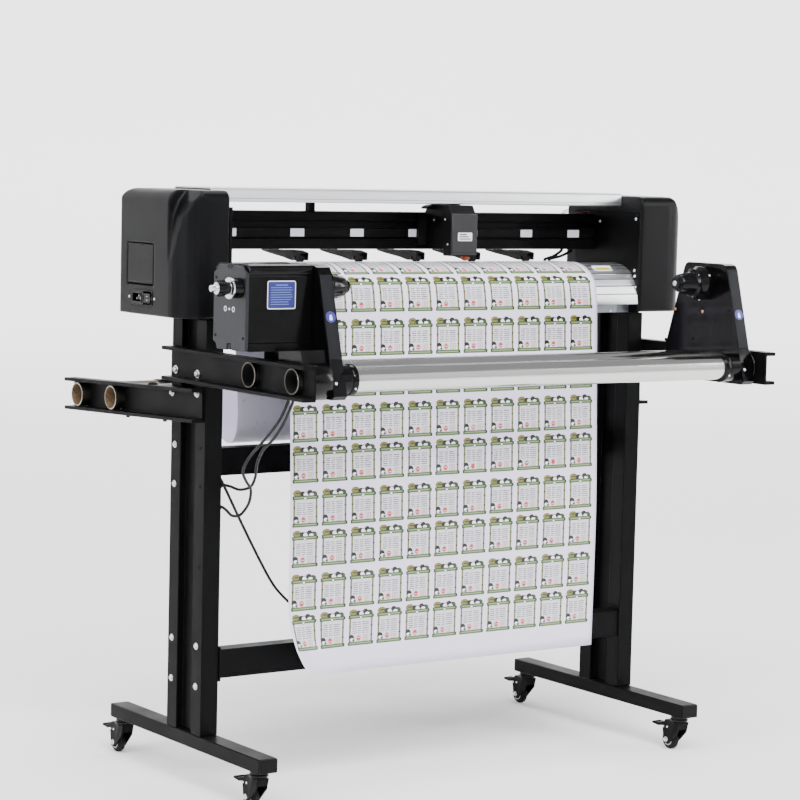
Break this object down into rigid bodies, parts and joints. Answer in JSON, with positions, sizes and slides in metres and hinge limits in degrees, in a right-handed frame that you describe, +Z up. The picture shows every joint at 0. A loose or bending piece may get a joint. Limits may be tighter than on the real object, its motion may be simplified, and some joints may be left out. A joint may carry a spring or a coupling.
{
  "type": "roll-fed media cutter with stand and take-up",
  "caption": "Wheeled vinyl cutter: roll-fed head with a sliding cutting carriage, pinch rollers, rear roll tubes and a motorised front take-up.",
  "frame": {"origin": "on the floor, midway between the two feet", "axes": "+X along the cutting width to the operator's right, +Y to the back of the machine, +Z up"},
  "size_m": [1.3153, 0.9209, 1.156],
  "materials": {
    "frame_black": "satin black powder coat",
    "cover_black": "fine satin moulded plastic",
    "gloss_black": "high gloss",
    "tyre": "matt rubber",
    "rubber": "matt rubber",
    "chrome": "polished",
    "steel_tube": "dull steel, brown inside",
    "silver_alloy": "anodised, satin",
    "carriage_black": "satin",
    "carriage_grey": "satin",
    "grey_plate": "grey coated, satin",
    "orange": "satin",
    "paper": "smooth coated label stock",
    "lead": "smooth cable jacket"
  },
  "bodies": {
    "stand": {"foot_left": "frame_black", "column_left": "frame_black", "front_arm_left": "frame_black", "rear_arm_left": "frame_black", "foot_right": "frame_black", "column_right": "frame_black", "front_arm_right": "frame_black", "rear_arm_right": "frame_black", "crossbar_upper": "frame_black", "crossbar_lower": "frame_black", "chassis": "frame_black", "beam": "frame_black", "end_cover_left": "cover_black", "end_cover_right": "cover_black", "power_inlet": "gloss_black", "takeup_plate_left": "gloss_black", "takeup_plate_right": "gloss_black", "drive_box": "gloss_black", "top_cover": "silver_alloy", "platen": "silver_alloy", "drive_end_plate": "grey_plate", "media_sheet": "paper", "drive_lead": "lead", "sensor_lead": "lead", "crossbar_lead": "lead"},
    "guide_roller": {"guide_roller": "chrome"},
    "front_tube": {"front_tube": "chrome"},
    "rear_tube_inner": {"rear_tube_inner": "steel_tube"},
    "rear_tube_outer": {"rear_tube_outer": "steel_tube"},
    "caster_front_left_fork": {"caster_front_left_fork": "frame_black"},
    "caster_front_left_wheel": {"caster_front_left_wheel": "tyre"},
    "caster_front_left_pedal": {"caster_front_left_pedal": "frame_black"},
    "caster_front_right_fork": {"caster_front_right_fork": "frame_black"},
    "caster_front_right_wheel": {"caster_front_right_wheel": "tyre"},
    "caster_front_right_pedal": {"caster_front_right_pedal": "frame_black"},
    "caster_rear_left_fork": {"caster_rear_left_fork": "frame_black"},
    "caster_rear_left_wheel": {"caster_rear_left_wheel": "tyre"},
    "caster_rear_left_pedal": {"caster_rear_left_pedal": "frame_black"},
    "caster_rear_right_fork": {"caster_rear_right_fork": "frame_black"},
    "caster_rear_right_wheel": {"caster_rear_right_wheel": "tyre"},
    "caster_rear_right_pedal": {"caster_rear_right_pedal": "frame_black"},
    "feed_roller": {"feed_roller": "chrome"},
    "pinch_arm_1": {"pinch_arm_1": "carriage_black"},
    "pinch_roller_1": {"pinch_roller_1": "rubber"},
    "pinch_arm_2": {"pinch_arm_2": "carriage_black"},
    "pinch_roller_2": {"pinch_roller_2": "rubber"},
    "pinch_arm_3": {"pinch_arm_3": "carriage_black"},
    "pinch_roller_3": {"pinch_roller_3": "rubber"},
    "pinch_arm_4": {"pinch_arm_4": "carriage_black"},
    "pinch_roller_4": {"pinch_roller_4": "rubber"},
    "pinch_arm_5": {"pinch_arm_5": "carriage_black"},
    "pinch_roller_5": {"pinch_roller_5": "rubber"},
    "carriage": {"carriage": "carriage_black", "carriage_cover": "carriage_grey"},
    "blade_holder": {"blade_holder": "orange"},
    "chuck_left": {"chuck_left": "gloss_black"},
    "chuck_right": {"chuck_right": "gloss_black"},
    "tension_knob": {"tension_knob": "gloss_black"},
    "access_door": {"access_door": "cover_black"},
    "rocker_switch": {"rocker_switch": "gloss_black"}
  },
  "joints": [
    {"name": "guide_roller_spin", "type": "hinge", "parent": "stand", "child": "guide_roller", "pos_m": [0, -0.4, 0.8165], "axis": [1, 0, 0], "continuous": true},
    {"name": "front_tube_spin", "type": "hinge", "parent": "stand", "child": "front_tube", "pos_m": [0, -0.25, 0.8165], "axis": [1, 0, 0], "continuous": true},
    {"name": "rear_tube_inner_spin", "type": "hinge", "parent": "stand", "child": "rear_tube_inner", "pos_m": [0, 0.264, 0.72978], "axis": [1, 0, 0], "continuous": true},
    {"name": "rear_tube_outer_spin", "type": "hinge", "parent": "stand", "child": "rear_tube_outer", "pos_m": [0, 0.408, 0.72409], "axis": [1, 0, 0], "continuous": true},
    {"name": "caster_front_left_swivel", "type": "hinge", "parent": "stand", "child": "caster_front_left_fork", "pos_m": [-0.513, -0.257, 0.0747], "axis": [0, 0, 1], "continuous": true},
    {"name": "caster_front_left_roll", "type": "hinge", "parent": "caster_front_left_fork", "child": "caster_front_left_wheel", "pos_m": [-0.513, -0.232, 0.021], "axis": [1, 0, 0], "continuous": true},
    {"name": "caster_front_left_brake", "type": "hinge", "parent": "caster_front_left_fork", "child": "caster_front_left_pedal", "pos_m": [-0.513, -0.2135, 0.051], "axis": [1, 0, 0], "range_deg": [-14, 0]},
    {"name": "caster_front_right_swivel", "type": "hinge", "parent": "stand", "child": "caster_front_right_fork", "pos_m": [0.513, -0.257, 0.0747], "axis": [0, 0, 1], "continuous": true},
    {"name": "caster_front_right_roll", "type": "hinge", "parent": "caster_front_right_fork", "child": "caster_front_right_wheel", "pos_m": [0.513, -0.232, 0.021], "axis": [1, 0, 0], "continuous": true},
    {"name": "caster_front_right_brake", "type": "hinge", "parent": "caster_front_right_fork", "child": "caster_front_right_pedal", "pos_m": [0.513, -0.2135, 0.051], "axis": [1, 0, 0], "range_deg": [-14, 0]},
    {"name": "caster_rear_left_swivel", "type": "hinge", "parent": "stand", "child": "caster_rear_left_fork", "pos_m": [-0.513, 0.268, 0.0747], "axis": [0, 0, 1], "continuous": true},
    {"name": "caster_rear_left_roll", "type": "hinge", "parent": "caster_rear_left_fork", "child": "caster_rear_left_wheel", "pos_m": [-0.513, 0.293, 0.021], "axis": [1, 0, 0], "continuous": true},
    {"name": "caster_rear_left_brake", "type": "hinge", "parent": "caster_rear_left_fork", "child": "caster_rear_left_pedal", "pos_m": [-0.513, 0.3115, 0.051], "axis": [1, 0, 0], "range_deg": [-14, 0]},
    {"name": "caster_rear_right_swivel", "type": "hinge", "parent": "stand", "child": "caster_rear_right_fork", "pos_m": [0.513, 0.268, 0.0747], "axis": [0, 0, 1], "continuous": true},
    {"name": "caster_rear_right_roll", "type": "hinge", "parent": "caster_rear_right_fork", "child": "caster_rear_right_wheel", "pos_m": [0.513, 0.293, 0.021], "axis": [1, 0, 0], "continuous": true},
    {"name": "caster_rear_right_brake", "type": "hinge", "parent": "caster_rear_right_fork", "child": "caster_rear_right_pedal", "pos_m": [0.513, 0.3115, 0.051], "axis": [1, 0, 0], "range_deg": [-14, 0]},
    {"name": "feed_roller_spin", "type": "hinge", "parent": "stand", "child": "feed_roller", "pos_m": [0, 0.005, 1], "axis": [1, 0, 0], "continuous": true},
    {"name": "pinch_lift_1", "type": "hinge", "parent": "stand", "child": "pinch_arm_1", "pos_m": [-0.2805, 0.06, 1.029], "axis": [1, 0, 0], "range_deg": [-5, 0]},
    {"name": "pinch_spin_1", "type": "hinge", "parent": "pinch_arm_1", "child": "pinch_roller_1", "pos_m": [-0.2805, 0.005, 1.02], "axis": [1, 0, 0], "continuous": true},
    {"name": "pinch_lift_2", "type": "hinge", "parent": "stand", "child": "pinch_arm_2", "pos_m": [-0.1415, 0.06, 1.029], "axis": [1, 0, 0], "range_deg": [-5, 0]},
    {"name": "pinch_spin_2", "type": "hinge", "parent": "pinch_arm_2", "child": "pinch_roller_2", "pos_m": [-0.1415, 0.005, 1.02], "axis": [1, 0, 0], "continuous": true},
    {"name": "pinch_lift_3", "type": "hinge", "parent": "stand", "child": "pinch_arm_3", "pos_m": [-0.002, 0.06, 1.029], "axis": [1, 0, 0], "range_deg": [-5, 0]},
    {"name": "pinch_spin_3", "type": "hinge", "parent": "pinch_arm_3", "child": "pinch_roller_3", "pos_m": [-0.002, 0.005, 1.02], "axis": [1, 0, 0], "continuous": true},
    {"name": "pinch_lift_4", "type": "hinge", "parent": "stand", "child": "pinch_arm_4", "pos_m": [0.137, 0.06, 1.029], "axis": [1, 0, 0], "range_deg": [-5, 0]},
    {"name": "pinch_spin_4", "type": "hinge", "parent": "pinch_arm_4", "child": "pinch_roller_4", "pos_m": [0.137, 0.005, 1.02], "axis": [1, 0, 0], "continuous": true},
    {"name": "pinch_lift_5", "type": "hinge", "parent": "stand", "child": "pinch_arm_5", "pos_m": [0.2755, 0.06, 1.029], "axis": [1, 0, 0], "range_deg": [-5, 0]},
    {"name": "pinch_spin_5", "type": "hinge", "parent": "pinch_arm_5", "child": "pinch_roller_5", "pos_m": [0.2755, 0.005, 1.02], "axis": [1, 0, 0], "continuous": true},
    {"name": "carriage_travel", "type": "slide", "parent": "stand", "child": "carriage", "axis": [1, 0, 0], "range_m": [-0.52, 0.37]},
    {"name": "blade_stroke", "type": "slide", "parent": "carriage", "child": "blade_holder", "axis": [0, 0, 1], "range_m": [-0.002, 0.001]},
    {"name": "chuck_left_spin", "type": "hinge", "parent": "stand", "child": "chuck_left", "pos_m": [-0.451, -0.307, 0.981], "axis": [1, 0, 0], "continuous": true},
    {"name": "chuck_right_spin", "type": "hinge", "parent": "stand", "child": "chuck_right", "pos_m": [0.498, -0.307, 0.981], "axis": [1, 0, 0], "continuous": true},
    {"name": "tension_knob_turn", "type": "hinge", "parent": "stand", "child": "tension_knob", "pos_m": [-0.6223, -0.339, 0.9815], "axis": [1, 0, 0], "range_deg": [-270, 270]},
    {"name": "access_door_open", "type": "hinge", "parent": "stand", "child": "access_door", "pos_m": [-0.598, 0.0705, 0.9705], "axis": [0, 1, 0], "range_deg": [-100, 0]},
    {"name": "rocker_switch_tilt", "type": "hinge", "parent": "stand", "child": "rocker_switch", "pos_m": [-0.594, 0.0385, 0.9415], "axis": [0, 1, 0], "range_deg": [-5, 5]}
  ],
  "couplings": [
    {"joint": "pinch_spin_1", "follows": "feed_roller_spin", "ratio": -1.25},
    {"joint": "pinch_lift_2", "follows": "pinch_lift_1", "ratio": 1},
    {"joint": "pinch_spin_2", "follows": "feed_roller_spin", "ratio": -1.25},
    {"joint": "pinch_lift_3", "follows": "pinch_lift_1", "ratio": 1},
    {"joint": "pinch_spin_3", "follows": "feed_roller_spin", "ratio": -1.25},
    {"joint": "pinch_lift_4", "follows": "pinch_lift_1", "ratio": 1},
    {"joint": "pinch_spin_4", "follows": "feed_roller_spin", "ratio": -1.25},
    {"joint": "pinch_lift_5", "follows": "pinch_lift_1", "ratio": 1},
    {"joint": "pinch_spin_5", "follows": "feed_roller_spin", "ratio": -1.25},
    {"joint": "chuck_right_spin", "follows": "chuck_left_spin", "ratio": 1}
  ]
}
